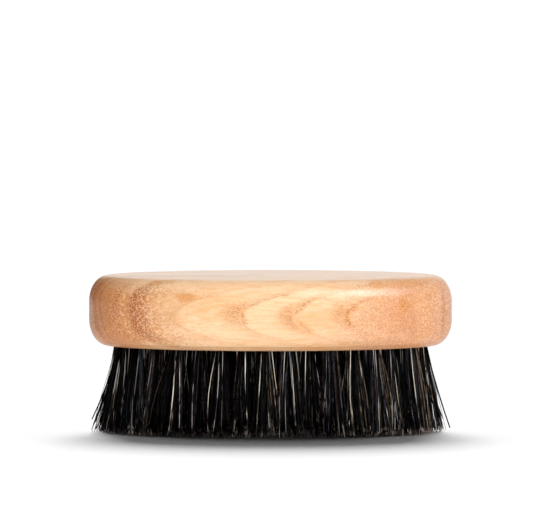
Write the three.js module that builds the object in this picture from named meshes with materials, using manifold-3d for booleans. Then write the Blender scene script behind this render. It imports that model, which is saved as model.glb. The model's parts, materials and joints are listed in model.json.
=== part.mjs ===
// Oval beard brush, standing on its bristle tips: a one-piece wooden block that fills the palm, with
// rings of blind holes drilled in its underside. Each hole holds one tuft, a bundle of bristle folded
// in half round a short piece of flat wire, the anchor, whose ends bite into the walls of the hole.
//
// Millimetres. +X runs along the block, +Y across it, +Z up. The origin is under the middle of the
// block, on the plane of the bristle tips.

import * as THREE from "three";
import { mergeVertices } from "three/addons/utils/BufferGeometryUtils.js";
import Module from "manifold-3d";

// ---------------------------------------------------------------- driving dimensions

// The wooden block
const BLOCK_LENGTH = 115;
const BLOCK_WIDTH = 60;
const BLOCK_THICKNESS = 22.3;
const EDGE_INSET = 6; // how far each rounded edge reaches in over the flat face
const EDGE_DEPTH = 8.3; // how far it reaches along the side
const OUTLINE_STEPS = 36; // half the number of points round the outline
const EDGE_STEPS = 5; // facets of a rounded edge

// The bristle field
const BRISTLE_LENGTH = 27.4; // from the block's underside to the tips
const HOLE_BORDER = 0.9; // from the edge of the recessed field to the outermost holes
const RING_STEP = 9; // from one ring of holes to the next
const OUTER_TUFT_COUNT = 32;
const MIDDLE_TUFT_COUNT = 18;
const CORE_TUFT_COUNT = 6;
const OUTER_START = 0.75; // pitches from the +X end of the ring to its first tuft, so that the back tufts stand
const MIDDLE_START = 0.25; // behind the gaps of the front ones
const CORE_END_GAP = 12.6; // from each end of the middle ring to the straight row inside it
const LEAN_AT_RIM = 5; // degrees that the outermost tufts lean outwards; the middle stands straight

// One tuft in its hole
const HOLE_DIAMETER = 4;
const HOLE_DEPTH = 10; // to the shoulder of the drill's cone
const DRILL_TIP = 0.9; // height of the cone past the shoulder
const HOLE_SIDES = 10;
const KNOT_CLEARANCE = 0.3; // between the folded bristle and the wall of its hole
const FOLD_STEPS = 2; // half the number of facets over the fold
const FOLD_HEIGHT = 1.7; // of the bristle that passes over the anchor

// The anchor, cut from flat wire
const ANCHOR_THICKNESS = 0.4;
const ANCHOR_HEIGHT = 1.6; // the wire's width, which stands upright in the hole
const ANCHOR_BITE = 0.4; // how far each end enters the wood
const ANCHOR_CLEARANCE = 0.2;

// The slices of the block's face that the strands are rooted in, and the recess that takes them
const RECESS_LIP = 1; // flat wood between the rounded edge and the recess
const SLICE_THICKNESS = 1.2;
const SLICE_CLEARANCE = 0.3; // round each slice
const SLICE_STEPS = 16; // half the number of points round a slice

// Strands
const STRANDS_PER_TUFT = 8; // one in the middle, the rest in a ring round it
const STRAND_SIDES = 3;
const STRAND_WIDTH = 0.85;
const TUFT_TIP_DIAMETER = 6.4; // a tuft is as wide as its hole at the root, and opens to this at the tips

// ---------------------------------------------------------------- derived places

const UNDERSIDE = BRISTLE_LENGTH;
const SLICE_TOP = UNDERSIDE + SLICE_THICKNESS;
const ROOTING = SLICE_THICKNESS / 2; // how deep strands and knots run into their slice
const HOLE_RADIUS = HOLE_DIAMETER / 2;
const KNOT_SIDE = Math.SQRT2 * (HOLE_RADIUS - KNOT_CLEARANCE); // a square bundle that clears the round wall
const KNOT_TOP = HOLE_DEPTH - KNOT_CLEARANCE;
const ANCHOR_MIDDLE = KNOT_TOP - FOLD_HEIGHT - ANCHOR_CLEARANCE - ANCHOR_HEIGHT / 2;

const RECESS_INSET = EDGE_INSET + RECESS_LIP;
const OUTER_INSET = RECESS_INSET + HOLE_BORDER + HOLE_RADIUS;
const MIDDLE_INSET = OUTER_INSET + RING_STEP;
const CORE_INSET = MIDDLE_INSET + RING_STEP / 2;
const RIM_LEAN = Math.tan(THREE.MathUtils.degToRad(LEAN_AT_RIM));

const wasm = await Module();
wasm.setup();

// ---------------------------------------------------------------- solids

// A closed geometry as a solid that can be joined and cut.
function solidOf(geometry) {
  const bare = geometry.clone();
  bare.deleteAttribute("normal");
  bare.deleteAttribute("uv");
  const merged = mergeVertices(bare, 1e-4);
  return new wasm.Manifold(
    new wasm.Mesh({
      numProp: 3,
      vertProperties: merged.attributes.position.array,
      triVerts: new Uint32Array(merged.index.array),
    }),
  );
}

// A solid as a geometry with flat facets.
function geometryOf(solid) {
  const mesh = solid.getMesh();
  const shared = new THREE.BufferGeometry();
  shared.setAttribute("position", new THREE.BufferAttribute(mesh.vertProperties, 3));
  shared.setIndex(new THREE.BufferAttribute(mesh.triVerts, 1));
  const facets = shared.toNonIndexed();
  facets.computeVertexNormals();
  return facets;
}

const joined = (geometries) => wasm.Manifold.union(geometries.map(solidOf));

// The block's oval, drawn in by inset all round.
function ovalSize(inset) {
  return { x: BLOCK_LENGTH / 2 - inset, y: BLOCK_WIDTH / 2 - inset };
}

function ovalShape(inset) {
  const { x, y } = ovalSize(inset);
  return new THREE.Shape().absellipse(0, 0, x, y, 0, 2 * Math.PI);
}

// A flat plate of the oval, from height low to height high, with the inner oval left open if one is given.
function ovalPlate(inset, low, high, innerInset) {
  const shape = ovalShape(inset);
  if (innerInset !== undefined) shape.holes.push(ovalShape(innerInset));
  const plate = new THREE.ExtrudeGeometry(shape, {
    depth: high - low,
    bevelEnabled: false,
    curveSegments: SLICE_STEPS,
  });
  return plate.translate(0, 0, low);
}

// A turned solid that stands on Z. Its profile is a list of [radius, height] from the lower end up.
function turned(profile, sides) {
  const points = profile.map(([radius, height]) => new THREE.Vector2(radius, height));
  return new THREE.LatheGeometry(points, sides).rotateX(Math.PI / 2);
}

// ---------------------------------------------------------------- the layout of the tufts

// Where a tuft leaves the underside, and the frame that stands in its hole: +Z up the hole, Y across it.
function tuftAt(x, y) {
  const rim = ovalSize(OUTER_INSET);
  const lean = new THREE.Vector2((x / rim.x) * RIM_LEAN, (y / rim.y) * RIM_LEAN);
  const upHole = new THREE.Vector3(-lean.x, -lean.y, 1).normalize();
  const frame = new THREE.Matrix4().makeRotationFromQuaternion(
    new THREE.Quaternion().setFromUnitVectors(new THREE.Vector3(0, 0, 1), upHole),
  );
  frame.setPosition(x, y, UNDERSIDE);
  return { x, y, lean, frame };
}

// Tufts evenly spaced round an oval. The first is start pitches past the +X end.
function tuftRing(inset, count, start) {
  const { x, y } = ovalSize(inset);
  const oval = new THREE.EllipseCurve(0, 0, x, y);
  return Array.from({ length: count }, (_, i) => {
    const place = oval.getPointAt((i + start) / count);
    return tuftAt(place.x, place.y);
  });
}

// Tufts evenly spaced along X, from -end to end.
function tuftRow(end, count) {
  const placeOf = (i) => THREE.MathUtils.lerp(-end, end, i / (count - 1));
  return Array.from({ length: count }, (_, i) => tuftAt(placeOf(i), 0));
}

const FIELDS = [
  {
    name: "outer",
    tufts: tuftRing(OUTER_INSET, OUTER_TUFT_COUNT, OUTER_START),
    edge: RECESS_INSET,
    innerEdge: OUTER_INSET + RING_STEP / 2,
  },
  {
    name: "middle",
    tufts: tuftRing(MIDDLE_INSET, MIDDLE_TUFT_COUNT, MIDDLE_START),
    edge: OUTER_INSET + RING_STEP / 2,
    innerEdge: CORE_INSET,
  },
  {
    name: "core",
    tufts: tuftRow(ovalSize(MIDDLE_INSET).x - CORE_END_GAP, CORE_TUFT_COUNT),
    edge: CORE_INSET,
  },
];

// ---------------------------------------------------------------- the pieces

// One anchor, or the room for it where a clearance is given.
function anchorBar(tuft, clearance) {
  const room = 2 * clearance;
  const bar = new THREE.BoxGeometry(
    ANCHOR_THICKNESS + room,
    HOLE_DIAMETER + 2 * ANCHOR_BITE + room,
    ANCHOR_HEIGHT + room,
  );
  return bar.translate(0, 0, ANCHOR_MIDDLE).applyMatrix4(tuft.frame);
}

function drilledHole(tuft) {
  const mouth = -SLICE_THICKNESS;
  const tip = HOLE_DEPTH + DRILL_TIP;
  const profile = [[0, mouth], [HOLE_RADIUS, mouth], [HOLE_RADIUS, HOLE_DEPTH], [0, tip]];
  return turned(profile, HOLE_SIDES).applyMatrix4(tuft.frame);
}

// The folded end of a tuft: an arch over the anchor, with a slot through it for the anchor.
function knot(tuft) {
  const half = KNOT_SIDE / 2;
  const arch = new THREE.Shape();
  arch.moveTo(-half, SLICE_THICKNESS - ROOTING);
  arch.lineTo(half, SLICE_THICKNESS - ROOTING);
  arch.absarc(0, KNOT_TOP - half, half, 0, Math.PI);
  arch.holes.push(slotOutline());
  const extrusion = { depth: KNOT_SIDE, bevelEnabled: false, curveSegments: FOLD_STEPS };
  return new THREE.ExtrudeGeometry(arch, extrusion)
    .translate(0, 0, -half)
    .rotateX(Math.PI / 2)
    .applyMatrix4(tuft.frame);
}

function slotOutline() {
  const half = ANCHOR_THICKNESS / 2 + ANCHOR_CLEARANCE;
  const rise = ANCHOR_HEIGHT / 2 + ANCHOR_CLEARANCE;
  return new THREE.Path([
    new THREE.Vector2(-half, ANCHOR_MIDDLE - rise),
    new THREE.Vector2(half, ANCHOR_MIDDLE - rise),
    new THREE.Vector2(half, ANCHOR_MIDDLE + rise),
    new THREE.Vector2(-half, ANCHOR_MIDDLE + rise),
  ]);
}

function strandSection() {
  const corners = Array.from({ length: STRAND_SIDES }, (_, i) => {
    const turn = (2 * Math.PI * i) / STRAND_SIDES;
    return new THREE.Vector2(Math.cos(turn), Math.sin(turn)).multiplyScalar(STRAND_WIDTH / 2);
  });
  return new THREE.Shape(corners);
}

// A straight strand from its root in the slice to its tip, which is cut level. The first of a tuft
// stands in its middle.
function strand(tuft, index) {
  const turn = (2 * Math.PI * index) / (STRANDS_PER_TUFT - 1) + Math.atan2(tuft.y, tuft.x);
  const spread = new THREE.Vector2(Math.cos(turn), Math.sin(turn)).multiplyScalar(Math.min(index, 1));
  const mouth = spread.clone().multiplyScalar((HOLE_DIAMETER - STRAND_WIDTH) / 2);
  const flare = spread.multiplyScalar((TUFT_TIP_DIAMETER - STRAND_WIDTH) / 2).sub(mouth);
  const slope = tuft.lean.clone().addScaledVector(flare, 1 / BRISTLE_LENGTH);
  const tip = new THREE.Vector2(tuft.x, tuft.y).add(mouth).addScaledVector(slope, BRISTLE_LENGTH);
  return new THREE.ExtrudeGeometry(strandSection(), { depth: UNDERSIDE + ROOTING, bevelEnabled: false })
    .applyMatrix4(new THREE.Matrix4().makeShear(0, 0, 0, 0, -slope.x, -slope.y))
    .translate(tip.x, tip.y, 0);
}

function woodenBlock() {
  const rounded = new THREE.ExtrudeGeometry(ovalShape(0), {
    depth: BLOCK_THICKNESS - 2 * EDGE_DEPTH,
    bevelThickness: EDGE_DEPTH,
    bevelSize: EDGE_INSET,
    bevelOffset: -EDGE_INSET,
    bevelSegments: EDGE_STEPS,
    curveSegments: OUTLINE_STEPS,
  }).translate(0, 0, UNDERSIDE + EDGE_DEPTH);
  const recess = ovalPlate(RECESS_INSET, UNDERSIDE - SLICE_THICKNESS, SLICE_TOP);
  const tufts = FIELDS.flatMap((field) => field.tufts);
  const anchorRooms = tufts.map((tuft) => anchorBar(tuft, ANCHOR_CLEARANCE));
  return solidOf(rounded).subtract(joined([recess, ...tufts.map(drilledHole), ...anchorRooms]));
}

// The bristle of one ring: its slice of the block's face, a folded knot in each hole, and the strands.
function bristleField({ tufts, edge, innerEdge }) {
  const slice = ovalPlate(edge + SLICE_CLEARANCE, UNDERSIDE, SLICE_TOP, innerEdge);
  const strands = tufts.flatMap((tuft) =>
    Array.from({ length: STRANDS_PER_TUFT }, (_, i) => strand(tuft, i)),
  );
  return joined([slice, ...tufts.map(knot), ...strands]);
}

// ---------------------------------------------------------------- the brush

const FINISHES = {
  wood: new THREE.MeshStandardMaterial({ color: 0xdcb07c, roughness: 0.38, metalness: 0 }),
  bristle: new THREE.MeshStandardMaterial({ color: 0x17130f, roughness: 0.55, metalness: 0 }),
  wire: new THREE.MeshStandardMaterial({ color: 0xb9b7b0, roughness: 0.35, metalness: 1 }),
};

function piece(name, geometry, finish) {
  const mesh = new THREE.Mesh(geometry, FINISHES[finish].clone());
  mesh.name = name;
  return mesh;
}

const brush = new THREE.Group();
brush.add(piece("block", geometryOf(woodenBlock()), "wood"));
for (const field of FIELDS) {
  const ring = new THREE.Group();
  ring.add(piece(`bristles_${field.name}`, geometryOf(bristleField(field)), "bristle"));
  field.tufts.forEach((tuft, i) => {
    const number = String(i + 1).padStart(2, "0");
    ring.add(piece(`anchor_${field.name}_${number}`, anchorBar(tuft, 0), "wire"));
  });
  brush.add(ring);
}

export default brush;
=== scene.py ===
"""Oval beard brush: a varnished wooden block with tufts of dark bristle, standing on its tips.

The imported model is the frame. The block and the tufts are modelled here over its plain solids, and the
wire anchors in the holes keep their own meshes. Metres, with the brush's length along X and Z up.
"""

import json
import math

import bmesh
import bpy
import numpy as np
from bpy.props import FloatProperty, FloatVectorProperty, IntProperty, PointerProperty
from mathutils import Matrix, Vector

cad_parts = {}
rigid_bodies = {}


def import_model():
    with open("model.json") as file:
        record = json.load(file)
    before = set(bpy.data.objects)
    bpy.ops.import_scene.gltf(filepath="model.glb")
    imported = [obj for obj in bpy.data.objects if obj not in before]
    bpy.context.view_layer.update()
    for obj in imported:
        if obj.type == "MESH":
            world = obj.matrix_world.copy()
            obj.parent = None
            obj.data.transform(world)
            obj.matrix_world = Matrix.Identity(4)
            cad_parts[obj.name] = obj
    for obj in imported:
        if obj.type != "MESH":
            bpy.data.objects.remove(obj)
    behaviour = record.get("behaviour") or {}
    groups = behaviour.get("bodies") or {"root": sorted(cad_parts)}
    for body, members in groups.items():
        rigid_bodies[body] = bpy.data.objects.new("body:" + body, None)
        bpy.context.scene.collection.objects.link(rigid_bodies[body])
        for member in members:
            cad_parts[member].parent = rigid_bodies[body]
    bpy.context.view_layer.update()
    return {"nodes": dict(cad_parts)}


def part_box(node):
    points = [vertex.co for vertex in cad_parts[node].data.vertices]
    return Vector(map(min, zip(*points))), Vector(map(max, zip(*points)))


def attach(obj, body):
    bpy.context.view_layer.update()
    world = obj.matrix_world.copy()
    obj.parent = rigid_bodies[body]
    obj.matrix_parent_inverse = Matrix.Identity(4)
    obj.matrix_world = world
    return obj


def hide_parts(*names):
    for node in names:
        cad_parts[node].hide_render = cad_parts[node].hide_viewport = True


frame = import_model()

bl_info = {
    "name": "Beard brush",
    "version": (1, 0, 0),
    "blender": (4, 5, 0),
    "location": "View3D > Sidebar > Brush",
    "description": "Models and finishes an oval beard brush round its packed frame",
    "category": "Object",
}

MM = 0.001
BODY = "root"
HAIR_MAP = "OFBake"  # the tufts' UV map
SAME = 1e-6  # metres: heights that differ by less are the same
EDGE_INSET = 6 * MM

# Read from the frame
BLOCK_LOW, BLOCK_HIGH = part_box("block")
HALF_LENGTH = BLOCK_HIGH.x
HALF_WIDTH = BLOCK_HIGH.y
UNDERSIDE = BLOCK_LOW.z
TOP = BLOCK_HIGH.z


# ---- settings


def Colour(name, description, default):
    return FloatVectorProperty(name=name, description=description, default=default, subtype="COLOR")


def Number(name, description, default, **kind):
    return FloatProperty(name=name, description=description, default=default, **kind)


def Length(name, description, default):
    return Number(name, description, default, unit="LENGTH")


class BlockSettings(bpy.types.PropertyGroup):
    edge_inset: Length("Edge inset", "How far each rounded edge reaches over the flat face", EDGE_INSET)
    edge_depth: Length("Edge depth", "How far each rounded edge reaches along the side", 8.3 * MM)
    hole_diameter: Length("Hole diameter", "Diameter of the blind hole that holds a tuft", 4 * MM)
    hole_depth: Length("Hole depth", "Depth of a hole to the shoulder of its drill tip", 10 * MM)
    heart: Colour("Heart colour", "Colour of the pale wood along the front", (0.92, 0.57, 0.31))
    cream: Colour("Cream", "Colour of the palest wood", (0.97, 0.68, 0.41))
    honey: Colour("Honey", "Colour of the warm clouds in the wood", (0.80, 0.36, 0.11))
    tan_end: Colour("Tan end", "Colour of the end grain at the left end", (0.58, 0.235, 0.08))
    peach_end: Colour("Peach end", "Colour of the end grain at the right end", (0.74, 0.33, 0.165))
    ring: Colour("Growth ring", "Colour of the dark growth rings", (0.36, 0.10, 0.02))
    pore: Colour("Pore", "Colour of the pores in the rings", (0.34, 0.09, 0.018))
    fleck: Colour("Fleck", "Colour of the pale flecks beside the rings", (0.95, 0.67, 0.45))
    varnish_roughness: Number(
        "Varnish roughness", "Roughness of the satin varnish", 0.27, subtype="FACTOR"
    )


class TuftSettings(bpy.types.PropertyGroup):
    hairs: IntProperty(name="Hairs in a tuft", description="Hair ends in each tuft", default=180)
    hair_diameter: Length("Hair diameter", "Thickness of a hair at its root", 0.25 * MM)
    tip_diameter: Length("Tuft tip diameter", "How wide a tuft opens by its tips", 8.4 * MM)
    end_splay: Length(
        "End splay", "How much further out than their lean the tips at the brush's ends reach", 1.3 * MM
    )
    rim_lean: Number(
        "Lean at the rim", "Angle that the outermost tufts lean outwards", math.radians(5), subtype="ANGLE"
    )
    black: Colour("Black hair", "Colour of most hairs", (0.0005, 0.0004, 0.0008))
    brown: Colour("Brown hair", "Colour of the brown hairs", (0.060, 0.034, 0.036))
    grey: Colour("Grey hair", "Colour of the grey hairs", (0.060, 0.068, 0.085))
    tip: Colour("Hair tips", "Colour of the cut ends of some of the hairs", (0.78, 0.62, 0.53))
    tan: Colour("Tan hair", "Colour of the tan hairs", (0.62, 0.46, 0.31))
    ash: Colour("Ash hair", "Colour of the pale grey hairs", (0.44, 0.41, 0.40))
    blond: Colour("Blond hair", "Colour of the blond hairs", (0.97, 0.86, 0.70))


class StageSettings(bpy.types.PropertyGroup):
    lens: Number("Lens", "Focal length of the camera", 358.0, unit="CAMERA")
    distance: Length("Camera distance", "Distance from the camera to the middle of the block", 1.68)
    elevation: Number(
        "Camera elevation", "Angle of the camera above the block", math.radians(4.2), subtype="ANGLE"
    )
    floor_light: Number("Floor light", "Strength of the lights that cast the brush's shadow", 3.4)
    top_light: Number("Top light", "Strength of the broad light above", 1.55)
    front_light: Number("Front light", "Strength of the broad light in front", 0.96)
    window_light: Number("Window light", "Strength of the light from the upper right", 0.35)
    shine_light: Number("Shine light", "Strength of the two panes that the varnish reflects", 1.1)
    sheen_light: Number("Sheen light", "Brightness of the wall behind, as the flat top reflects it", 1.2)
    hair_light: Number("Hair light", "Strength of the low light that only the outer tufts get", 1.7)
    bounce_light: Number("Bounce light", "Strength of the light that comes up from the floor", 1.55)
    left_light: Number("Left light", "Strength of the broad light on the left", 0.1)
    right_light: Number("Right light", "Strength of the broad light on the right", 0.4)
    room_light: Number("Room light", "Strength of the light from all round", 0.025)


# ---- nodes


class Graph:
    """Short calls that add nodes to a tree. Most return the socket they make."""

    def __init__(self, tree):
        self.tree = tree

    def node(self, kind, inputs=(), **settings):
        """A new node of that kind. inputs has a value or a socket for each name or number."""
        made = self.tree.nodes.new(kind)
        for name, value in settings.items():
            setattr(made, name, value)
        for name, value in dict(inputs).items():
            self.feed(made.inputs[name], value)
        return made

    def feed(self, socket, value):
        """Links value to the socket if it is a socket itself, or else sets it."""
        if isinstance(value, bpy.types.NodeSocket):
            self.tree.links.new(value, socket)
        else:
            socket.default_value = value

    def math(self, operation, *values):
        return self.node("ShaderNodeMath", enumerate(values), operation=operation).outputs["Value"]

    def times(self, value, *factors):
        for factor in factors:
            value = self.math("MULTIPLY", value, factor)
        return value

    def line(self, value, slope, start):
        """value * slope + start"""
        return self.math("MULTIPLY_ADD", value, slope, start)

    def larger(self, a, b):
        return self.math("MAXIMUM", a, b)

    def vector(self, operation, *values):
        made = self.node("ShaderNodeVectorMath", enumerate(values), operation=operation)
        return made.outputs["Value" if operation == "LENGTH" else "Vector"]

    def scaled(self, vector, factors):
        """The vector with each of its parts times the factor for that axis."""
        return self.vector("MULTIPLY", vector, factors)

    def split(self, vector):
        return tuple(self.node("ShaderNodeSeparateXYZ", {"Vector": vector}).outputs)

    def step(self, value, low, high, to_low=0.0, to_high=1.0):
        """Goes smoothly from to_low to to_high as value goes from low to high."""
        inputs = {"Value": value, "From Min": low, "From Max": high, "To Min": to_low, "To Max": to_high}
        made = self.node("ShaderNodeMapRange", inputs, interpolation_type="SMOOTHSTEP")
        return made.outputs["Result"]

    def noise(self, vector, detail=2.0, roughness=0.5, output="Fac"):
        """Noise with one cell to a unit of vector."""
        inputs = {"Vector": vector, "Scale": 1.0, "Detail": detail, "Roughness": roughness}
        return self.node("ShaderNodeTexNoise", inputs).outputs[output]

    def dots(self, vector):
        """Distance to the nearest of some scattered points, about one to a unit of vector."""
        inputs = {"Vector": vector, "Scale": 1.0, "Randomness": 0.8}
        return self.node("ShaderNodeTexVoronoi", inputs).outputs["Distance"]

    def mix(self, factor, a, b):
        made = self.node("ShaderNodeMix", {"Factor": factor}, data_type="RGBA")
        colours = [socket for socket in made.inputs if socket.type == "RGBA"]
        for socket, value in zip(colours, (a, b)):
            self.feed(socket, rgba(value))
        return next(socket for socket in made.outputs if socket.type == "RGBA")

    def painted(self, colour, paint, *shares):
        """The colour with paint laid over it, as thick as the product of those shares."""
        return self.mix(self.times(*shares), colour, paint)

    def ramp(self, value, stops, interpolation="EASE"):
        """A colour ramp from (position, colour) pairs."""
        made = self.node("ShaderNodeValToRGB", {"Fac": value})
        made.color_ramp.interpolation = interpolation
        marks = made.color_ramp.elements
        while len(marks) < len(stops):
            marks.new(1.0)
        for mark, (position, colour) in zip(marks, stops):
            mark.position = position
            mark.color = rgba(colour)
        return made.outputs["Color"]

    def profile(self, value, start, span, stops):
        """Grey from a ramp that covers span from start on, given as (value, share) pairs."""
        share = self.math("DIVIDE", self.math("SUBTRACT", value, start), span)
        return self.ramp(share, [((v - start) / span, grey) for v, grey in stops])

    def bump(self, height, distance, strength):
        inputs = {"Height": height, "Distance": distance, "Strength": strength}
        return self.node("ShaderNodeBump", inputs).outputs["Normal"]

    def millimetres(self):
        """The place on the object, in millimetres."""
        place = self.node("ShaderNodeTexCoord").outputs["Object"]
        return self.scaled(place, (1 / MM,) * 3)


def rgba(value):
    """A colour or a grey with an alpha of 1. Sockets come back as they are."""
    if isinstance(value, bpy.types.NodeSocket):
        return value
    if isinstance(value, (int, float)):
        value = (value,) * 3
    return (*value[:3], 1.0)


def new_material(name, **constants):
    """A material with those constants on its shader, with its graph and the shader's sockets."""
    material = bpy.data.materials.new(name)
    material.use_nodes = True
    shader = material.node_tree.nodes["Principled BSDF"]
    for socket, value in constants.items():
        shader.inputs[socket.replace("_", " ")].default_value = value
    return material, Graph(material.node_tree), shader.inputs


# ---- wood

PITH = (0.0, 72.0, 27.0)  # mm: a point on the line that the growth rings go round, which runs along X
RING_START = 40.0  # mm: radius at the start of the ring ramp
RING_SPAN = 65.0  # mm: how much radius the ring ramp covers
RING_BEND = 0.02  # how far the left rings bend out of round, in mm to the square of mm of height

# Growth rings: (radius in mm, share of the ring colour)
GROWTH_RINGS = (
    (44.0, 0.5), (45.2, 0.0), (50.1, 0.55), (51.0, 0.05), (56.0, 0.45), (57.2, 0.0),
    (62.5, 0.6), (63.6, 0.05), (69.2, 0.1), (70.2, 0.6), (71.0, 0.1), (77.2, 0.7),
    (78.6, 0.3), (80.2, 1.0), (81.5, 1.0), (82.4, 0.3), (83.2, 0.4), (83.8, 1.0),
    (84.5, 0.3), (86.4, 0.4), (87.8, 0.2), (88.8, 0.35), (90.0, 0.0), (91.5, 0.05),
    (92.4, 0.75), (93.8, 0.4), (95.0, 0.0),
)

# How thick the pores lie at each radius: (radius in mm, share)
PORE_BANDS = (
    (40.0, 0.5), (80.0, 0.3), (87.2, 0.3), (88.2, 0.65), (89.4, 0.65), (90.2, 0.15),
    (91.6, 0.2), (92.3, 1.0), (94.2, 0.85), (95.4, 0.35), (98.5, 0.15), (104.0, 0.08),
)

# Where the wood beside the rings is flecked with pale dashes: (radius in mm, share)
PALE_BANDS = (
    (70.0, 0.1), (89.6, 0.1), (90.5, 0.8), (91.6, 0.6), (92.2, 0.1), (93.6, 0.1),
    (95.3, 1.0), (96.8, 0.7), (99.0, 0.1),
)

# Where the rings break through the front they are nested arches on their side, with their tips on
# this level: (x of the tip in mm, share of the ring colour)
ARCH_LEVEL = 38.3
ARCH_BEND = 0.27  # how fast an arch opens, in mm of x to the square of mm of height
ARCH_START = -50.0
ARCH_SPAN = 110.0
ARCHES = (
    (-47.0, 0.0), (-44.0, 0.35), (-43.0, 0.0), (-36.0, 0.0), (-30.0, 0.45), (-29.0, 0.0),
    (-20.0, 0.0), (-9.8, 0.75), (-8.8, 0.0), (-2.0, 0.0), (6.0, 0.8), (7.0, 0.0),
    (16.5, 0.0), (23.4, 0.75), (24.4, 0.0), (36.0, 0.0), (41.5, 0.5), (43.0, 0.0),
)

# Marks on the front, each an oval: (x, z, length, width, slope in degrees, strength), in mm
STREAKS = (
    (-8.6, 39.4, 3.6, 1.3, -70, 0.6),
    (-8.2, 42.0, 3.2, 1.0, 60, 0.5),
    (-4.5, 42.6, 5.4, 1.1, 18, 0.8),
    (0.3, 44.3, 8.0, 0.8, 16, 0.75),
    (4.3, 45.3, 4.2, 0.9, 6, 0.8),
    (13.0, 44.5, 15.0, 0.8, -3, 0.4),
    (17.4, 44.2, 3.4, 1.0, -8, 0.5),
    (38.5, 33.6, 2.8, 1.3, 12, 0.6),
    (30.0, 29.8, 34.0, 2.2, 1, 0.25),
    (54.4, 38.0, 2.2, 26.0, 0, 0.7),
    (44.5, 37.0, 4.0, 20.0, 4, 0.25),
)
SPECKLED = (
    (-8.3, 38.2, 6.4, 2.4, -68, 1.0),
    (-9.8, 40.8, 3.6, 2.2, 10, 0.8),
    (-12.0, 40.0, 10.0, 8.0, 0, 0.3),
    (9.8, 41.2, 10.5, 2.2, 39, 1.0),
    (5.6, 39.4, 10.0, 7.0, 30, 0.3),
    (10.6, 35.4, 9.0, 2.2, -33, 0.7),
    (25.2, 40.4, 6.4, 2.2, 44, 1.0),
    (24.0, 37.3, 4.6, 2.0, -67, 0.9),
    (21.0, 40.0, 8.0, 7.0, 0, 0.3),
    (42.0, 42.2, 4.0, 8.0, 0, 0.8),
    (-36.0, 48.6, 6.0, 1.8, 8, 0.7),
)
ORANGE = (
    (-26.4, 44.5, 9.0, 3.8, 4, 1.0),
    (33.6, 47.8, 7.4, 3.6, -14, 1.0),
    (42.5, 48.0, 22.0, 3.4, 0, 0.8),
    (49.2, 44.2, 3.0, 10.0, 0, 0.8),
    (42.0, 42.2, 3.8, 7.4, 0, 0.8),
    (54.4, 39.0, 1.5, 16.0, 0, 1.0),
    (48.6, 37.0, 4.6, 18.0, 0, 0.5),
)
CREAM = (
    (-12.0, 34.5, 44.0, 9.0, -4, 0.8),
    (-10.0, 46.6, 32.0, 3.4, 3, 0.7),
    (8.0, 46.8, 34.0, 3.0, -2, 0.8),
    (12.0, 32.0, 26.0, 6.0, 0, 0.6),
    (-42.0, 47.4, 24.0, 6.5, 0, 0.8),
    (-31.0, 28.4, 36.0, 5.0, 0, 0.85),
    (29.0, 31.0, 34.0, 10.0, 0, 0.45),
)
ENDLESS = 1e6  # mm: a mark's size across the block, so that only x and z count
# Painted shade: a dark line low on the side, where the lower rounded edge turns away from the light
PAINTED_SHADE_LINE = ((28.2, 0.0), (28.7, 0.3), (29.2, 0.0))  # dark line low on the side: (z in mm, share)
WOOD_RELIEF = 0.02 * MM


def shifted(graph, place, scales, reach):
    """Moves place about by up to reach mm, in lumps that scales sets for each axis."""
    lumps = graph.noise(graph.scaled(place, scales), output="Color")
    lumps = graph.vector("SUBTRACT", lumps, (0.5,) * 3)
    return graph.vector("MULTIPLY_ADD", lumps, (2 * reach,) * 3, place)


def marks(graph, place, front, ovals):
    """The strongest of those marks at each place, from 0 to 1, on the front alone."""
    found = 0.0
    for x, z, length, width, slope, strength in ovals:
        inputs = {
            "Vector": place,
            "Location": (x, 0.0, z),
            "Rotation": (0.0, -math.radians(slope), 0.0),
            "Scale": (length / 2, ENDLESS, width / 2),
        }
        oval = graph.node("ShaderNodeMapping", inputs, vector_type="TEXTURE")
        out = graph.vector("LENGTH", oval.outputs["Vector"])
        found = graph.larger(found, graph.step(out, 0.35, 1.1, strength, 0.0))
    return graph.times(found, front)


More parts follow.
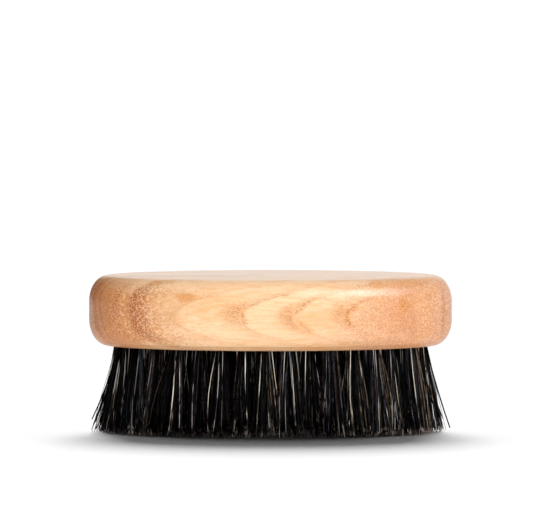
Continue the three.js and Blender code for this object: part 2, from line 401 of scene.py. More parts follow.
class Grain:
    """How the wood grows at each point of the block: the sockets that its colours and relief share.

    place, x, y and z are in mm. swung is the place in slightly wavy wood, and ragged in rough wood.
    front, left and flat_top are 1 on those parts of the block and 0 elsewhere.
    """

    def __init__(self, graph):
        self.place = graph.millimetres()
        self.x, self.y, self.z = graph.split(self.place)
        self.front = graph.step(self.y, -4.0, -10.0)
        self.left = graph.step(self.x, 5.0, -20.0)
        self.flat_top = graph.step(self.z, 47.5, 49.7)

        waves = shifted(graph, self.place, (0.05, 0.12, 0.12), 0.7)
        self.swung = shifted(graph, waves, (0.5, 0.5, 0.5), 0.35)
        self.ragged = shifted(graph, self.swung, (1.6, 1.6, 1.6), 0.5)
        self.fibres = graph.noise(graph.scaled(self.swung, (0.13, 1.3, 1.3)), 3.0, 0.55)
        self.dots = graph.dots(graph.scaled(self.place, (1.6, 1.9, 1.9)))
        self.pores = graph.step(self.dots, 0.56, 0.32)

        ring_x, _, ring_z = graph.split(self.ragged)
        self.rise = graph.math("SUBTRACT", ring_z, ARCH_LEVEL)
        square = graph.times(self.rise, self.rise)
        self.arch = graph.math("ADD", graph.times(square, -ARCH_BEND), ring_x)
        self.arches = self.show_arches(graph)

        across = graph.vector("SUBTRACT", self.ragged, PITH)
        self.radius = graph.vector("LENGTH", graph.scaled(across, (0.0, 1.0, 1.0)))
        bend = graph.times(square, self.left)
        self.ring_radius = graph.line(bend, -RING_BEND, self.radius)
        self.clear = self.ring_clearness(graph)

    def show_arches(self, graph):
        """How strong the arches are: on the front alone, and faint far above and below their tips."""
        near = graph.step(graph.math("ABSOLUTE", self.rise), 10.0, 4.0, 0.35, 1.0)
        near = graph.times(near, graph.step(self.rise, -8.0, 0.0, 0.45, 1.0))
        arches = graph.profile(self.arch, ARCH_START, ARCH_SPAN, ARCHES)
        return graph.times(arches, graph.times(self.front, near))

    def ring_clearness(self, graph):
        """How clear the rings are: faint on the front but for its left end, and on the rounded edges."""
        clear = graph.larger(graph.step(self.y, -2.0, 6.0), self.left)
        clear = graph.line(clear, 0.8, 0.2)
        rounded = graph.larger(graph.step(self.z, 45.0, 49.0), graph.step(self.z, 33.0, 29.0))
        return graph.times(clear, graph.line(rounded, -0.5, 1.0))


def plain_wood(graph, s, grain):
    """Pale wood along the front, and darker wood round the ends and the back."""
    ends = graph.mix(graph.step(grain.x, -25.0, 25.0), s.tan_end, s.peach_end)
    tint = graph.math("SUBTRACT", grain.radius, 3.0)
    tint = graph.line(grain.left, 3.0, tint)
    rounded = graph.larger(
        graph.step(grain.z, 45.5, 49.5, 0.0, 5.0), graph.step(grain.z, 32.0, 28.5, 0.0, 3.0)
    )
    tint = graph.math("ADD", tint, rounded)
    return graph.mix(graph.step(tint, 92.0, 101.5), ends, s.heart)


# Each of the next six gives its coats of paint, as (paint, shares whose product is how thick it lies)


def clouded(graph, s, grain):
    """A cream top, with warm clouds all over the block and cream and orange ones on its front."""
    clouds = graph.noise(graph.scaled(grain.swung, (0.05, 0.16, 0.16)), 3.0)
    cream = marks(graph, grain.swung, grain.front, CREAM)
    orange = marks(graph, grain.swung, grain.front, ORANGE)
    return [
        (s.cream, grain.flat_top, 0.65),
        (s.honey, graph.step(clouds, 0.45, 0.7, 0.0, 0.4)),
        (s.cream, cream, 0.45),
        (s.honey, orange, 0.8),
        (s.ring, orange, 0.16),
    ]


def arched(graph, s, grain):
    """The arches on the front in honey, on wood that is a little paler right of the first of them."""
    right = graph.step(grain.arch, -30.5, -27.5)
    low = graph.step(grain.rise, 11.2, 8.0)
    return [(s.cream, right, grain.front, low, 0.1), (s.honey, grain.arches, 0.45)]


def ringed(graph, s, grain):
    """The dark growth rings, with the streaks and the dark of the arches."""
    rings = graph.profile(grain.ring_radius, RING_START, RING_SPAN, GROWTH_RINGS)
    rings = graph.times(rings, grain.clear, 1.2)
    streaks = marks(graph, grain.ragged, grain.front, STREAKS)
    stained = graph.larger(graph.larger(rings, streaks), graph.times(grain.arches, 0.3))
    return [(s.ring, stained, 0.6)]


def fibred(graph, s, grain):
    """Warm and pale fibres along the block, which fade towards its ends."""
    middle = graph.step(graph.math("ABSOLUTE", grain.x), 22.0, 42.0, 1.0, 0.25)
    warm = graph.step(grain.fibres, 0.48, 0.7, 0.0, 0.45)
    pale = graph.step(grain.fibres, 0.5, 0.3, 0.0, 0.4)
    return [(s.honey, warm, middle), (s.cream, pale, middle)]


def pored(graph, s, grain):
    """Pores with pale wood between them, in bands along the rings and all over the right end, and
    short dark dashes in the speckled marks and the arches."""
    speckled = marks(graph, grain.ragged, grain.front, SPECKLED)
    thick = graph.profile(grain.ring_radius, RING_START, RING_SPAN, PORE_BANDS)
    thick = graph.times(thick, grain.clear, 0.8)
    thick = graph.larger(thick, graph.step(grain.x, 14.0, 32.0, 0.06, 0.34))
    thick = graph.times(thick, graph.line(grain.flat_top, -0.6, 1.0))
    between = graph.times(graph.step(grain.dots, 0.55, 0.72), thick)
    pale = graph.step(grain.x, 0.0, 30.0, 0.45, 0.2)
    dashes = graph.noise(graph.scaled(grain.place, (1.1, 2.2, 2.2)), 1.0)
    amount = graph.line(speckled, 0.5, graph.times(grain.arches, 0.3))
    return [
        (s.honey, speckled, 0.5),
        (s.pore, grain.pores, thick),
        (s.fleck, between, pale),
        (s.ring, graph.step(dashes, 0.44, 0.56), amount),
    ]


def flecked(graph, s, grain):
    """Pale slanting flecks, most of all beside the left rings and at the right end, and a painted shade
    line.
    """
    slant = (0.0, math.radians(35), 0.0)
    inputs = {"Vector": grain.place, "Rotation": slant, "Scale": (0.6, 1.6, 1.6)}
    slanted = graph.node("ShaderNodeMapping", inputs)
    flecks = graph.step(graph.noise(slanted.outputs["Vector"], 1.0), 0.50, 0.62)
    beside = graph.profile(grain.ring_radius, RING_START, RING_SPAN, PALE_BANDS)
    amount = graph.line(graph.times(beside, grain.left), 0.48, 0.03)
    amount = graph.math("ADD", amount, graph.step(grain.x, 45.0, 49.0, 0.0, 0.3))
    # Painted shade: the dark line on the front where the lower rounded edge turns away from the light
    shade_line = graph.profile(grain.z, 27.0, 24.0, PAINTED_SHADE_LINE)
    return [(s.fleck, flecks, amount), (s.ring, shade_line, grain.front)]


def wood_material(s):
    """Pale varnished wood: growth rings round a pith along X, with pores, pale flecks and fine fibres."""
    material, graph, surface = new_material(
        "varnished_wood",
        Coat_Weight=0.75,
        Coat_Roughness=s.varnish_roughness,
        Coat_IOR=1.5,
        IOR=1.45,
        Specular_IOR_Level=0.1,
    )
    grain = Grain(graph)
    colour = plain_wood(graph, s, grain)
    for layer in (clouded, arched, ringed, fibred, pored, flecked):
        for paint, *shares in layer(graph, s, grain):
            colour = graph.painted(colour, paint, *shares)
    graph.feed(surface["Base Color"], colour)
    graph.feed(surface["Roughness"], graph.line(grain.pores, 0.15, 0.4))
    relief = graph.line(grain.pores, -0.5, grain.fibres)
    graph.feed(surface["Normal"], graph.bump(relief, WOOD_RELIEF, 0.5))
    return material


# ---- other finishes

TONES = 96  # columns of the hair map, each with its own colour
SPLIT_TONES = 3.0  # the first columns: split hairs, paler towards their tips
TAN = 0.905  # share of the columns where the thicker tan, ash and blond hairs start


def dimmed(colour, share):
    return [part * share for part in colour]


def hair_mottle(graph, column, share, along):
    """Noise along each hair: short spots on some columns, longer ones on most and on all pale ones."""
    spots = graph.step(graph.noise(graph.times(column, 5.3), 0.0), 0.55, 0.6, 6.0, 34.0)
    spots = graph.step(share, 0.92, 0.925, spots, 3.0)
    inputs = {"X": graph.times(column, 7.31), "Y": graph.times(along, spots)}
    return graph.noise(graph.node("ShaderNodeCombineXYZ", inputs).outputs["Vector"])


def hair_tips(graph, column, along, mottle):
    """How pale a hair's tip is: the cut ends of some columns, more of them and paler towards the right as
    painted highlight on the lit side, and the ends of split hairs."""
    # Painted highlight: towards the right more tips are pale, and paler, as if lit from the right
    right = graph.step(graph.split(graph.millimetres())[0], 20.0, 36.0)
    picked = graph.noise(graph.times(column, 3.7), 0.0)
    picked = graph.step(graph.line(right, 0.07, picked), 0.57, 0.6)
    pale = graph.times(picked, graph.line(right, 0.8, 0.15))
    cut = graph.times(graph.step(along, 0.94, 0.97), pale)
    split = graph.step(column, SPLIT_TONES, SPLIT_TONES - 1.0)
    split = graph.times(split, graph.step(mottle, 0.4, 0.6), graph.step(along, 0.8, 0.97))
    return graph.larger(cut, split)


def bristle_material(s):
    """Hair colours: each column of the hair map is one hair's colour, and its height runs root to tip."""
    material, graph, surface = new_material("bristle", Roughness=0.35, Specular_IOR_Level=0.03)
    made = graph.node("ShaderNodeUVMap", uv_map=HAIR_MAP)
    across, along, _ = graph.split(made.outputs["UV"])
    column = graph.math("FLOOR", graph.times(across, float(TONES)))
    share = graph.math("DIVIDE", column, float(TONES))
    mottle = hair_mottle(graph, column, share, along)
    colours = [
        (0.0, s.black),
        (0.60, dimmed(s.brown, 0.25)),
        (0.72, s.brown),
        (0.80, dimmed(s.grey, 0.3)),
        (0.87, s.grey),
        (TAN, dimmed(s.tan, 0.25)),
        (0.925, s.tan),
        (0.935, s.ash),
        (0.958, s.blond),
    ]
    tone = graph.ramp(share, colours, "CONSTANT")
    tone = graph.painted(tone, s.black, graph.step(mottle, 0.45, 0.6, 0.0, 0.9))
    tone = graph.painted(tone, s.tip, hair_tips(graph, column, along, mottle))
    graph.feed(surface["Base Color"], tone)
    return material


def wire_material():
    """Flat steel wire with fine drawing marks along it."""
    material, graph, surface = new_material("drawn_wire", Metallic=1.0)
    lines = graph.noise(graph.scaled(graph.millimetres(), (9.0, 0.8, 9.0)), 3.0, 0.6)
    colour = graph.mix(lines, (0.42, 0.42, 0.43), (0.62, 0.61, 0.60))
    graph.feed(surface["Base Color"], colour)
    graph.feed(surface["Roughness"], graph.step(lines, 0.3, 0.7, 0.28, 0.42))
    return material


# ---- block

OUTLINE_POINTS = 192
EDGE_SEGMENTS = 12
HOLE_SIDES = 24
DRILL_TIP = 0.9 * MM
HOLE_ENTRY = 1.5 * MM  # how far a cutter starts below the face
RIM_INSET = EDGE_INSET + 3.9 * MM  # from the oval's outline to the middle of the outermost holes


def active():
    return bpy.context.view_layer.objects.active


def deselect_all():
    bpy.ops.object.select_all(action="DESELECT")


def choose(obj):
    """Selects that object alone and makes it active."""
    deselect_all()
    obj.select_set(True)
    bpy.context.view_layer.objects.active = obj


def select_in_mesh(obj, wanted):
    """In edit mode, selects the vertices for which wanted(place) holds, with their edges and faces."""
    mesh = bmesh.from_edit_mesh(obj.data)
    for vertex in mesh.verts:
        vertex.select_set(bool(wanted(vertex.co)))
    mesh.select_flush(True)
    bmesh.update_edit_mesh(obj.data)


def select_edges(obj, wanted):
    """In edit mode, selects the edges for which wanted(one end, other end) holds."""
    bpy.ops.mesh.select_all(action="DESELECT")
    bpy.ops.mesh.select_mode(type="EDGE")
    mesh = bmesh.from_edit_mesh(obj.data)
    for edge in mesh.edges:
        edge.select_set(bool(wanted(edge.verts[0].co, edge.verts[1].co)))
    bmesh.update_edit_mesh(obj.data)


def bake_place(obj):
    """Moves the object's place, turn and scale into its mesh."""
    obj.data.transform(obj.matrix_world)
    obj.matrix_world = Matrix.Identity(4)


def finished(obj, name, material, replaced):
    """Names a new piece, gives it its material and ties it to the frame."""
    obj.name = name
    obj.data.name = name
    obj.data.materials.clear()
    obj.data.materials.append(material)
    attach(obj, BODY)
    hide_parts(replaced)


def oval_solid(s):
    """The oval with its elliptical edges. It is drawn flatter, so that a round bevel becomes one."""
    squeeze = s.edge_inset / s.edge_depth
    middle = (TOP + UNDERSIDE) / 2
    bpy.ops.mesh.primitive_cylinder_add(
        vertices=OUTLINE_POINTS,
        radius=1.0,
        depth=(TOP - UNDERSIDE) * squeeze,
        location=(0, 0, 0),
    )
    block = active()
    bpy.ops.object.mode_set(mode="EDIT")
    bpy.ops.transform.resize(value=(HALF_LENGTH, HALF_WIDTH, 1.0))
    select_edges(block, lambda a, b: abs(a.z - b.z) < SAME)
    bpy.ops.mesh.bevel(offset=s.edge_inset, segments=EDGE_SEGMENTS, profile=0.5, affect="EDGES")
    bpy.ops.mesh.select_all(action="SELECT")
    bpy.ops.transform.resize(value=(1.0, 1.0, 1 / squeeze))
    bpy.ops.transform.translate(value=(0, 0, middle))
    bpy.ops.object.mode_set(mode="OBJECT")
    return block


def hole_cutter(s):
    """One drill bit, pointing up, with its mouth at the origin."""
    length = s.hole_depth + HOLE_ENTRY
    bpy.ops.mesh.primitive_cylinder_add(
        vertices=HOLE_SIDES,
        radius=s.hole_diameter / 2,
        depth=length,
        location=(0, 0, s.hole_depth - length / 2),
    )
    bit = active()
    bake_place(bit)
    bpy.ops.object.mode_set(mode="EDIT")
    select_in_mesh(bit, lambda place: place.z > s.hole_depth - SAME)
    bpy.ops.mesh.extrude_region_move(TRANSFORM_OT_translate={"value": (0, 0, DRILL_TIP)})
    bpy.ops.mesh.merge(type="CENTER")
    bpy.ops.object.mode_set(mode="OBJECT")
    return bit


def tuft_axes(ring, s):
    """(mouth of the hole, direction up into the wood) for each tuft of a ring, from its anchor."""
    spread = math.tan(s.rim_lean)
    rim = Vector((HALF_LENGTH, HALF_WIDTH)) - Vector((1, 1)) * RIM_INSET
    axes = []
    for name in sorted(n for n in frame["nodes"] if n.startswith(f"anchor_{ring}")):
        low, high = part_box(name)
        middle = (low + high) / 2
        rise = middle.z - UNDERSIDE
        lean_x = spread * middle.x / (rim.x - rise * spread)
        lean_y = spread * middle.y / (rim.y - rise * spread)
        up = Vector((-lean_x, -lean_y, 1.0))
        axes.append((middle - up * rise, up.normalized()))
    return axes


def drill(block, s, tuft_settings):
    """Cuts every tuft's hole out of the block."""
    bit = hole_cutter(s)
    bits = []
    for ring in RINGS:
        for mouth, up in tuft_axes(ring, tuft_settings):
            copy = bit.copy()
            copy.data = bit.data.copy()
            turn = Vector((0, 0, 1)).rotation_difference(up).to_matrix().to_4x4()
            copy.data.transform(Matrix.Translation(mouth) @ turn)
            bpy.context.scene.collection.objects.link(copy)
            bits.append(copy)
    bpy.data.objects.remove(bit)
    deselect_all()
    for copy in bits:
        copy.select_set(True)
    bpy.context.view_layer.objects.active = bits[0]
    bpy.ops.object.join()
    cutters = active()
    choose(block)
    cut = block.modifiers.new("drill", "BOOLEAN")
    cut.operation = "DIFFERENCE"
    cut.solver = "EXACT"
    cut.object = cutters
    bpy.ops.object.modifier_apply(modifier=cut.name)
    bpy.data.objects.remove(cutters)


class BRUSH_OT_block(bpy.types.Operator):
    """Model the oval wooden block, with its rounded edges and its holes"""

    bl_idname = "brush.block"
    bl_label = "Wooden block"

    def execute(self, context):
        s = context.scene.brush_block
        block = oval_solid(s)
        drill(block, s, context.scene.brush_tufts)
        bpy.ops.object.shade_smooth_by_angle(angle=math.radians(32))
        finished(block, "wooden_block", wood_material(s), "block")
        block.visible_diffuse = False  # or the wood's warm light would tint the white floor
        return {"FINISHED"}


# ---- tufts

RINGS = ("outer", "middle", "core")
HAIR_SIDES = 3
HAIR_STATIONS = (0.3, 0.56, 0.8, 1.0)  # how far towards its tip each ring of a hair's vertices is
HAIR_TAPER = (1.0, 1.0, 0.95, 0.88, 0.78)  # share of the full thickness at each ring, root first
HAIR_RINGS = len(HAIR_TAPER)
ROOTED = 2 * MM  # how far a hair runs up into its hole
WALL_GAP = 0.15 * MM  # between the outermost hairs and the wall of the hole
BOX_GAP = 0.1 * MM  # that hairs keep to the sides of the brush's box
CAP_DIP = 0.02  # how far in the middle of a hair's end lies on the hair map
MAP_MARGIN = 0.15  # share of a column of the hair map that stays free on each side

CLUMPS = 7  # bunches that a tuft's hairs stick together in
CLUMP_RADIUS = 0.72  # from the middle of a tuft of radius 1 to those of its outer clumps
CLUMP_SHIFT = 0.6 * MM  # how far a clump's tips stray, and how far it bows
CLUMP_BOW = 0.4 * MM
HAIR_SHIFT = 0.25 * MM  # how far each hair strays from its clump
HAIR_BOW = 0.22 * MM
WILD_SHARE = 0.14  # of the hairs, which go their own way
WILD_SHIFT = 1.6 * MM
WILD_BOW = 2.2  # times as far as the others
LEFT_SPLAY = 1.2  # share of the end splay at each end of the brush
RIGHT_SPLAY = 0.1

LEVEL_SHARE = 0.25  # of the hairs, which end almost on the floor
SHORT_SHARE = 0.15  # of the hairs, which end well above it
PALE_GIRTH = 1.5  # how much thicker pale and stray hairs are
STRAY_GIRTH = 2.7

# Stray hairs: where the tip is, in mm, and how far the hair bows outwards
STRAYS = (
    (-57.0, -5.0, 4.2, -0.9),
    (-55.6, -8.5, 3.6, -0.7),
    (-56.4, -1.5, 2.2, -1.0),
    (-54.6, -10.5, 2.6, -0.5),
    (-54.0, 3.5, 1.6, -0.3),
    (-53.0, -13.0, 1.4, 0.5),
    (-53.9, 9.5, 3.0, 0.6),
    (-51.0, 15.5, 1.5, 0.4),
    (56.9, -5.5, 1.6, -0.4),
    (54.4, -9.5, 1.9, -0.3),
    (55.2, 3.5, 3.6, -0.8),
    (52.2, 12.0, 0.8, 0.8),
    (-20.0, 29.0, 1.6, 0.6),
    (9.0, 29.4, 3.0, 0.4),
    (34.0, 26.0, 2.0, 1.0),
    (-36.0, -25.5, 2.6, 0.6),
    (28.0, -28.0, 1.4, 0.5),
)
SEED = 11


def hair_pattern():
    """One upright hair of unit height and radius, as (corners, faces, corner map).

    corners is (ring, x, y) for each vertex; faces lists vertices; the map has (across, along) for
    each corner of each face, where along is the height.
    """
    bpy.ops.mesh.primitive_cylinder_add(vertices=HAIR_SIDES, radius=1.0, depth=1.0, location=(0, 0, 0.5))
    hair = active()
    bake_place(hair)
    bpy.ops.object.mode_set(mode="EDIT")
    select_edges(hair, lambda a, b: abs(a.z - b.z) > 0.5)
    bpy.ops.mesh.subdivide(number_cuts=HAIR_RINGS - 2)
    bpy.ops.object.mode_set(mode="OBJECT")
    mesh = hair.data
    drawn = mesh.uv_layers.active.data
    rings = [round(v.co.z * (HAIR_RINGS - 1)) for v in mesh.vertices]
    corners = np.array([(r, v.co.x, v.co.y) for r, v in zip(rings, mesh.vertices)])
    faces, places = [], []
    for face in mesh.polygons:
        faces.append(list(face.vertices))
        if abs(face.normal.z) > 0.5:
            end = mesh.vertices[face.vertices[0]].co.z
            inner = end + (CAP_DIP if end < 0.5 else -CAP_DIP)
            places += [(0.0, end), (1.0, end), (0.5, inner)]
            continue
        across = [drawn[i].uv.x for i in face.loop_indices]
        low, high = min(across), max(across)
        places += [
            ((u - low) / (high - low), mesh.vertices[v].co.z)
            for u, v in zip(across, face.vertices)
        ]
    bpy.data.objects.remove(hair)
    return corners, faces, np.array(places)


def unit_disc(rng, count):
    """Points spread evenly over a disc of radius 1, each moved a little."""
    k = np.arange(count) + 0.5
    radius = np.sqrt(k / count)
    turn = k * math.pi * (3 - math.sqrt(5))
    spread = np.stack([radius * np.cos(turn), radius * np.sin(turn)], 1)
    moved = spread + rng.normal(0, 0.03, (count, 2))
    return moved / np.maximum(np.linalg.norm(moved, axis=1, keepdims=True), 1.0)


def hair_lines(mouth, up, root, tip, bow, height):
    """Centre lines of a tuft's hairs, in metres, as (hair, ring, 3), from root to tip.

    root and tip are how far each hair is from the hole's axis at its mouth and at the floor, bow is how
    far it bends sideways between them, and height is where it ends above the floor.
    """
    down = -np.array(up)
    down /= -down[2]
    reach = 1 - height / UNDERSIDE
    lines = np.empty((len(root), HAIR_RINGS, 3))
    for ring, share in enumerate((-ROOTED / UNDERSIDE, *HAIR_STATIONS)):
        t = share * reach if share > 0 else np.full(len(root), share)
        at = np.maximum(t, 0)[:, None]
        lines[:, ring] = np.array(mouth) + down * (t * UNDERSIDE)[:, None]
        lines[:, ring, :2] += root * (1 - at) + tip * at + bow * 4 * at * (1 - at)
    return lines


def clumped(rng, count):
    """Where a tuft's hairs start and end, on discs of radius 1, and the clump that each one is in."""
    start = unit_disc(rng, count)
    turn = np.arange(CLUMPS - 1) * 2 * math.pi / (CLUMPS - 1) + rng.uniform(0, 6.3)
    circle = np.stack([np.cos(turn), np.sin(turn)], 1)
    middles = np.vstack([[0, 0], CLUMP_RADIUS * circle])
    middles += rng.normal(0, 0.1, middles.shape)
    clump = np.linalg.norm(start[:, None] - middles[None], axis=2).argmin(1)
    pull = rng.uniform(0.4, 0.85, (count, 1))
    end = start * (1 - pull) + middles[clump] * pull
    end += rng.normal(0, 0.08, end.shape)
    return start, end, clump


def hair_heights(rng, start, tip, clump, along):
    """How far above the floor each hair of a tuft ends, which varies least at the brush's ends.

    Hairs further out in the tuft end higher, and so does one clump more than another.
    """
    count = len(start)
    height = rng.gamma(0.9, 0.3 * MM, count) + rng.uniform(0, 1.0 * MM)
    height += rng.uniform(0, 3.0 * MM, CLUMPS)[clump]
    height += 1.2 * MM * (start**2).sum(1) + (tip**2).sum(1) / (2 * UNDERSIDE)
    height = np.maximum(height - 0.6 * MM, 0)
    height *= 1 - 1.2 * along**2
    height[rng.random(count) < LEVEL_SHARE] *= 0.2
    short = rng.random(count) < SHORT_SHARE * (1 - along**2)
    height[short] += rng.uniform(0.5 * MM, 7 * MM, short.sum())
    return height


def hair_shades(rng, clump, along):
    """Each hair's column of the hair map, with a fraction. Towards the right more hairs are pale, which is
    partly painted light from the right.
    """
    count = len(clump)
    # Painted light in part: the exponent falls towards the right, so more hairs there are pale
    shades = rng.random(count) ** (rng.choice((0.75, 0.9, 1.1, 1.4)) * (1 - 0.55 * along))
    split = (rng.random(CLUMPS) < 0.15)[clump] & (rng.random(count) < 0.35)
    first = np.where(split, 0, SPLIT_TONES)
    columns = np.where(split, SPLIT_TONES, TONES - SPLIT_TONES)
    return first + shades * columns


def tuft_hairs(rng, mouth, up, s, hole_radius):
    """The hairs of one tuft, as their centre lines and their columns of the hair map."""
    start, end, clump = clumped(rng, s.hairs)
    root = start * (hole_radius - WALL_GAP)
    tip = end * s.tip_diameter / 2
    bow = rng.normal(0, CLUMP_BOW, (CLUMPS, 2))[clump]
    bow += rng.normal(0, HAIR_BOW, (s.hairs, 2))
    tip += rng.normal(0, CLUMP_SHIFT, (CLUMPS, 2))[clump]
    tip += rng.normal(0, HAIR_SHIFT, tip.shape)
    wild = rng.random(s.hairs) < WILD_SHARE
    tip[wild] += rng.normal(0, WILD_SHIFT, (wild.sum(), 2))
    bow[wild] *= WILD_BOW
    along = mouth.x / HALF_LENGTH
    splay = s.end_splay * (LEFT_SPLAY if along < 0 else RIGHT_SPLAY)
    tip[:, 0] += splay * along * abs(along) ** 3 * rng.uniform(0.8, 3.0, s.hairs)
    height = hair_heights(rng, start, tip, clump, along)
    lines = hair_lines(mouth, up, root, tip, bow, height)
    return lines, hair_shades(rng, clump, along)


def stray_hairs(axes, hole_radius):
    """The stray hairs that stick out, each from the tuft nearest to its tip."""
    lines = []
    for *place, bend in STRAYS:
        tip = Vector(place) * MM
        mouth, up = min(axes, key=lambda axis: (axis[0].xy - tip.xy).length)
        floor_hit = mouth - up * (mouth.z / up.z)
        out = (tip.xy - mouth.xy).normalized()
        reach = 1 - tip.z / UNDERSIDE
        root = out * (hole_radius - WALL_GAP)
        far = (tip.xy - mouth.xy - root * (1 - reach)) / reach
        off_axis = far - (floor_hit - mouth).xy
        one_hair = (np.array([each]) for each in (root, off_axis, out * bend * MM, tip.z))
        lines.append(hair_lines(mouth, up, *one_hair))
    return np.concatenate(lines)


def build_hairs(name, lines, radii, turns, tones):
    """One mesh of all those hairs. tones is each hair's column of the hair map."""
    corners, faces, places = hair_pattern()
    count = len(lines)
    ring = corners[:, 0].astype(int)
    cos, sin = np.cos(turns)[:, None], np.sin(turns)[:, None]
    x = corners[:, 1] * cos - corners[:, 2] * sin
    y = corners[:, 1] * sin + corners[:, 2] * cos
    points = lines[:, ring].copy()
    points[:, :, 0] += x * radii[:, ring]
    points[:, :, 1] += y * radii[:, ring]
    x_limit, y_limit = HALF_LENGTH - BOX_GAP, HALF_WIDTH - BOX_GAP
    points = np.clip(points, (-x_limit, -y_limit, 0), (x_limit, y_limit, UNDERSIDE + ROOTED))

    mesh = bpy.data.meshes.new(name)
    steps = range(0, count * len(corners), len(corners))
    mesh.from_pydata(
        points.reshape(-1, 3), [], [[v + step for v in face] for step in steps for face in faces]
    )
    inside = MAP_MARGIN + (1 - 2 * MAP_MARGIN) * places[None, :, 0]
    across = (tones[:, None] + inside) / TONES
    along = np.broadcast_to(places[None, :, 1], across.shape)
    hair_map = np.stack([across, along], 2).astype(np.float32)
    mesh.uv_layers.new(name=HAIR_MAP).uv.foreach_set("vector", hair_map.ravel())
    mesh.validate()
    hairs = bpy.data.objects.new(name, mesh)
    bpy.context.scene.collection.objects.link(hairs)
    return hairs


def ring_of_tufts(ring, s, hole_radius, seed):
    """One mesh with every hair of a ring's tufts, and in the outer ring the stray hairs."""
    rng = np.random.default_rng(seed)
    axes = tuft_axes(ring, s)
    tufts = [tuft_hairs(rng, mouth, up, s, hole_radius) for mouth, up in axes]
    lines, shades = (list(each) for each in zip(*tufts))
    if ring == "outer":
        lines.append(stray_hairs(axes, hole_radius))
        shades.append(np.linspace(0.1, 0.6, len(STRAYS)) * TONES)
    lines = np.concatenate(lines)
    tones = np.concatenate(shades).astype(int)
    girth = rng.uniform(0.65, 1.15, (len(lines), 1))
    radii = girth * np.array(HAIR_TAPER) * s.hair_diameter / 2
    radii[(tones >= TAN * TONES) | (tones < SPLIT_TONES)] *= PALE_GIRTH
    if ring == "outer":
        radii[-len(STRAYS):] *= STRAY_GIRTH
    turns = rng.uniform(0, 2 * math.pi, len(lines))
    return build_hairs(f"tufts_{ring}", lines, radii, turns, tones)


class BRUSH_OT_tufts(bpy.types.Operator):
    """Grow the three rings of bristle tufts out of the block's holes"""

    bl_idname = "brush.tufts"
    bl_label = "Bristle tufts"

    def execute(self, context):
        s = context.scene.brush_tufts
        hole_radius = context.scene.brush_block.hole_diameter / 2
        material = bristle_material(s)
        for seed, ring in enumerate(RINGS, SEED):
            tufts = ring_of_tufts(ring, s, hole_radius, seed)
            choose(tufts)
            bpy.ops.object.shade_smooth_by_angle(angle=math.radians(130))
            finished(tufts, f"tufts_{ring}", material, f"bristles_{ring}")
        return {"FINISHED"}


class BRUSH_OT_anchors(bpy.types.Operator):
    """Give the flat-wire anchors in the holes their drawn steel finish"""

    bl_idname = "brush.anchors"
    bl_label = "Wire anchors"

    def execute(self, context):
        material = wire_material()
        for name, node in frame["nodes"].items():
            if name.startswith("anchor_"):
                node.data.materials.clear()
                node.data.materials.append(material)
        return {"FINISHED"}


# ---- stage

FLOOR_SIZE = 3.0

# Every lamp: (its setting, share of that strength, azimuth, elevation, softness, what it lights), with
# angles in degrees. The floor has its own, behind and beside the brush, which cast its shadow.
LAMPS = (
    ("floor_light", 0.97, 180, 52, 36, "floor"),
    ("floor_light", 0.13, -122, 45, 36, "floor"),
    ("floor_light", 0.13, 122, 45, 36, "floor"),
    ("top_light", 1.0, 20, 65, 90, "brush"),
    ("front_light", 1.0, 12, 10, 50, "brush"),
    ("window_light", 1.0, 32, 42, 24, "brush"),
    ("hair_light", 1.0, 20, 4, 40, "outer tufts"),
    ("shine_light", 0.8, 32, 41, 28, "brush"),
    ("shine_light", 1.2, 50, 41, 28, "brush"),
    ("left_light", 1.0, -95, 42, 70, "brush"),
    ("right_light", 1.0, 95, 15, 70, "brush"),
    ("bounce_light", 1.0, 0, -40, 80, "block"),
)
AIM = Vector((-1.26, 0.0, 13.98)) * MM  # from the middle of the block to what the camera points at


def floor_material():
    """White to the camera and a little less to everything else."""
    material, graph, surface = new_material("floor", Roughness=0.9, Specular_IOR_Level=0.0)
    seen = graph.node("ShaderNodeLightPath").outputs["Is Camera Ray"]
    graph.feed(surface["Base Color"], graph.mix(seen, 0.80, 1.0))
    return material


def make_floor():
    bpy.ops.mesh.primitive_plane_add(size=FLOOR_SIZE, location=(0, 0, 0))
    floor = active()
    floor.name = "floor"
    floor.data.materials.append(floor_material())
    return floor


def light_group(obj, state):
    """What a lamp is linked to: only obj if state is INCLUDE, and all but obj if it is EXCLUDE."""
    group = bpy.data.collections.new(f"{state.lower()}_{obj.name}")
    group.objects.link(obj)
    group.collection_objects[0].light_linking.link_state = state
    return group


def make_lamp(name, strength, azimuth, elevation, softness):
    """A distant lamp. azimuth is from the front towards +X, and elevation above the floor, in degrees."""
    bpy.ops.object.light_add(type="SUN", location=(0, 0, 1))
    lamp = active()
    lamp.name = name
    lamp.data.energy = strength
    lamp.data.angle = math.radians(softness)
    a, e = math.radians(azimuth), math.radians(elevation)
    towards = Vector((math.sin(a) * math.cos(e), -math.cos(a) * math.cos(e), math.sin(e)))
    lamp.rotation_mode = "QUATERNION"
    lamp.rotation_quaternion = towards.to_track_quat("Z", "Y")
    return lamp


def make_lamps(s, floor):
    """Every lamp, each linked to what it lights."""
    objects = bpy.data.objects
    lit = {
        "floor": light_group(floor, "INCLUDE"),
        "brush": light_group(floor, "EXCLUDE"),
        "outer tufts": light_group(objects["tufts_outer"], "INCLUDE"),
        "block": light_group(objects["wooden_block"], "INCLUDE"),
    }
    for setting, share, azimuth, elevation, softness, what in LAMPS:
        strength = getattr(s, setting) * share
        lamp = make_lamp(setting, strength, azimuth, elevation, softness)
        lamp.light_linking.receiver_collection = lit[what]
        if setting == "shine_light":
            lamp.visible_diffuse = False  # seen in the varnish alone
        if setting == "bounce_light":
            lamp.light_linking.blocker_collection = lit["brush"]  # it comes up through the floor


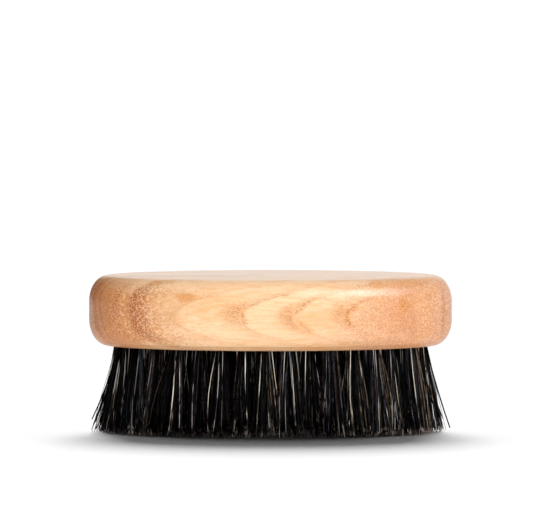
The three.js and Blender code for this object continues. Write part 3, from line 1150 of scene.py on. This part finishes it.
def make_room(strength, sheen):
    """Light from all round. The camera sees plain white, and reflections see a wall that is dark on
    the left, with a bright strip behind the brush."""
    world = bpy.data.worlds.new("room")
    world.use_nodes = True
    graph = Graph(world.node_tree)
    background = world.node_tree.nodes["Background"]
    background.inputs["Color"].default_value = (1.0, 1.0, 1.0, 1.0)
    ray = graph.node("ShaderNodeLightPath").outputs
    x, y, _ = graph.split(graph.node("ShaderNodeTexCoord").outputs["Generated"])
    wall = graph.step(x, -0.3, -0.03, 0.12, 1.0)
    aside = graph.larger(graph.math("ABSOLUTE", x), graph.step(y, 0.6, 0.2))
    strip = graph.step(aside, 0.25, 0.1, 0.0, sheen)
    shine = graph.times(ray["Is Glossy Ray"], graph.larger(wall, strip))
    seen = graph.larger(graph.larger(ray["Is Camera Ray"], shine), ray["Is Transmission Ray"])
    graph.feed(background.inputs["Strength"], graph.line(seen, 1.0 - strength, strength))
    bpy.context.scene.world = world


def make_camera(s):
    middle = Vector((0, 0, (TOP + UNDERSIDE) / 2))
    away = Vector((0, -math.cos(s.elevation), math.sin(s.elevation)))
    bpy.ops.object.camera_add(location=middle + away * s.distance)
    camera = active()
    camera.name = "camera"
    camera.data.sensor_fit = "HORIZONTAL"
    camera.data.sensor_width = 36.0
    camera.data.lens = s.lens
    camera.data.clip_end = 100.0
    camera.rotation_mode = "QUATERNION"
    sight = middle + AIM - camera.location
    camera.rotation_quaternion = sight.to_track_quat("-Z", "Y")
    bpy.context.scene.camera = camera


class BRUSH_OT_stage(bpy.types.Operator):
    """Lay the pale floor and set up the lights and the camera"""

    bl_idname = "brush.stage"
    bl_label = "Stage"

    def execute(self, context):
        s = context.scene.brush_stage
        make_lamps(s, make_floor())
        make_room(s.room_light, s.sheen_light)
        make_camera(s)
        context.scene.view_settings.view_transform = "Standard"
        return {"FINISHED"}


# ---- panel


class BRUSH_PT_panel(bpy.types.Panel):
    """Sizes and colours of the brush, and the steps that make it"""

    bl_idname = "BRUSH_PT_panel"
    bl_label = "Beard brush"
    bl_space_type = "VIEW_3D"
    bl_region_type = "UI"
    bl_category = "Brush"

    def draw(self, context):
        for settings, *operators in (
            (context.scene.brush_block, BRUSH_OT_block),
            (context.scene.brush_tufts, BRUSH_OT_tufts, BRUSH_OT_anchors),
            (context.scene.brush_stage, BRUSH_OT_stage),
        ):
            box = self.layout.box()
            for name in settings.__annotations__:
                box.prop(settings, name)
            for operator in operators:
                box.operator(operator.bl_idname)


CLASSES = (
    BlockSettings, TuftSettings, StageSettings,
    BRUSH_OT_block, BRUSH_OT_tufts, BRUSH_OT_anchors, BRUSH_OT_stage, BRUSH_PT_panel,
)


def register():
    for each in CLASSES:
        bpy.utils.register_class(each)
    bpy.types.Scene.brush_block = PointerProperty(type=BlockSettings)
    bpy.types.Scene.brush_tufts = PointerProperty(type=TuftSettings)
    bpy.types.Scene.brush_stage = PointerProperty(type=StageSettings)


def unregister():
    del bpy.types.Scene.brush_stage
    del bpy.types.Scene.brush_tufts
    del bpy.types.Scene.brush_block
    for each in reversed(CLASSES):
        bpy.utils.unregister_class(each)


def main():
    register()
    bpy.ops.brush.block()
    bpy.ops.brush.tufts()
    bpy.ops.brush.anchors()
    bpy.ops.brush.stage()


if __name__ == "__main__":
    main()
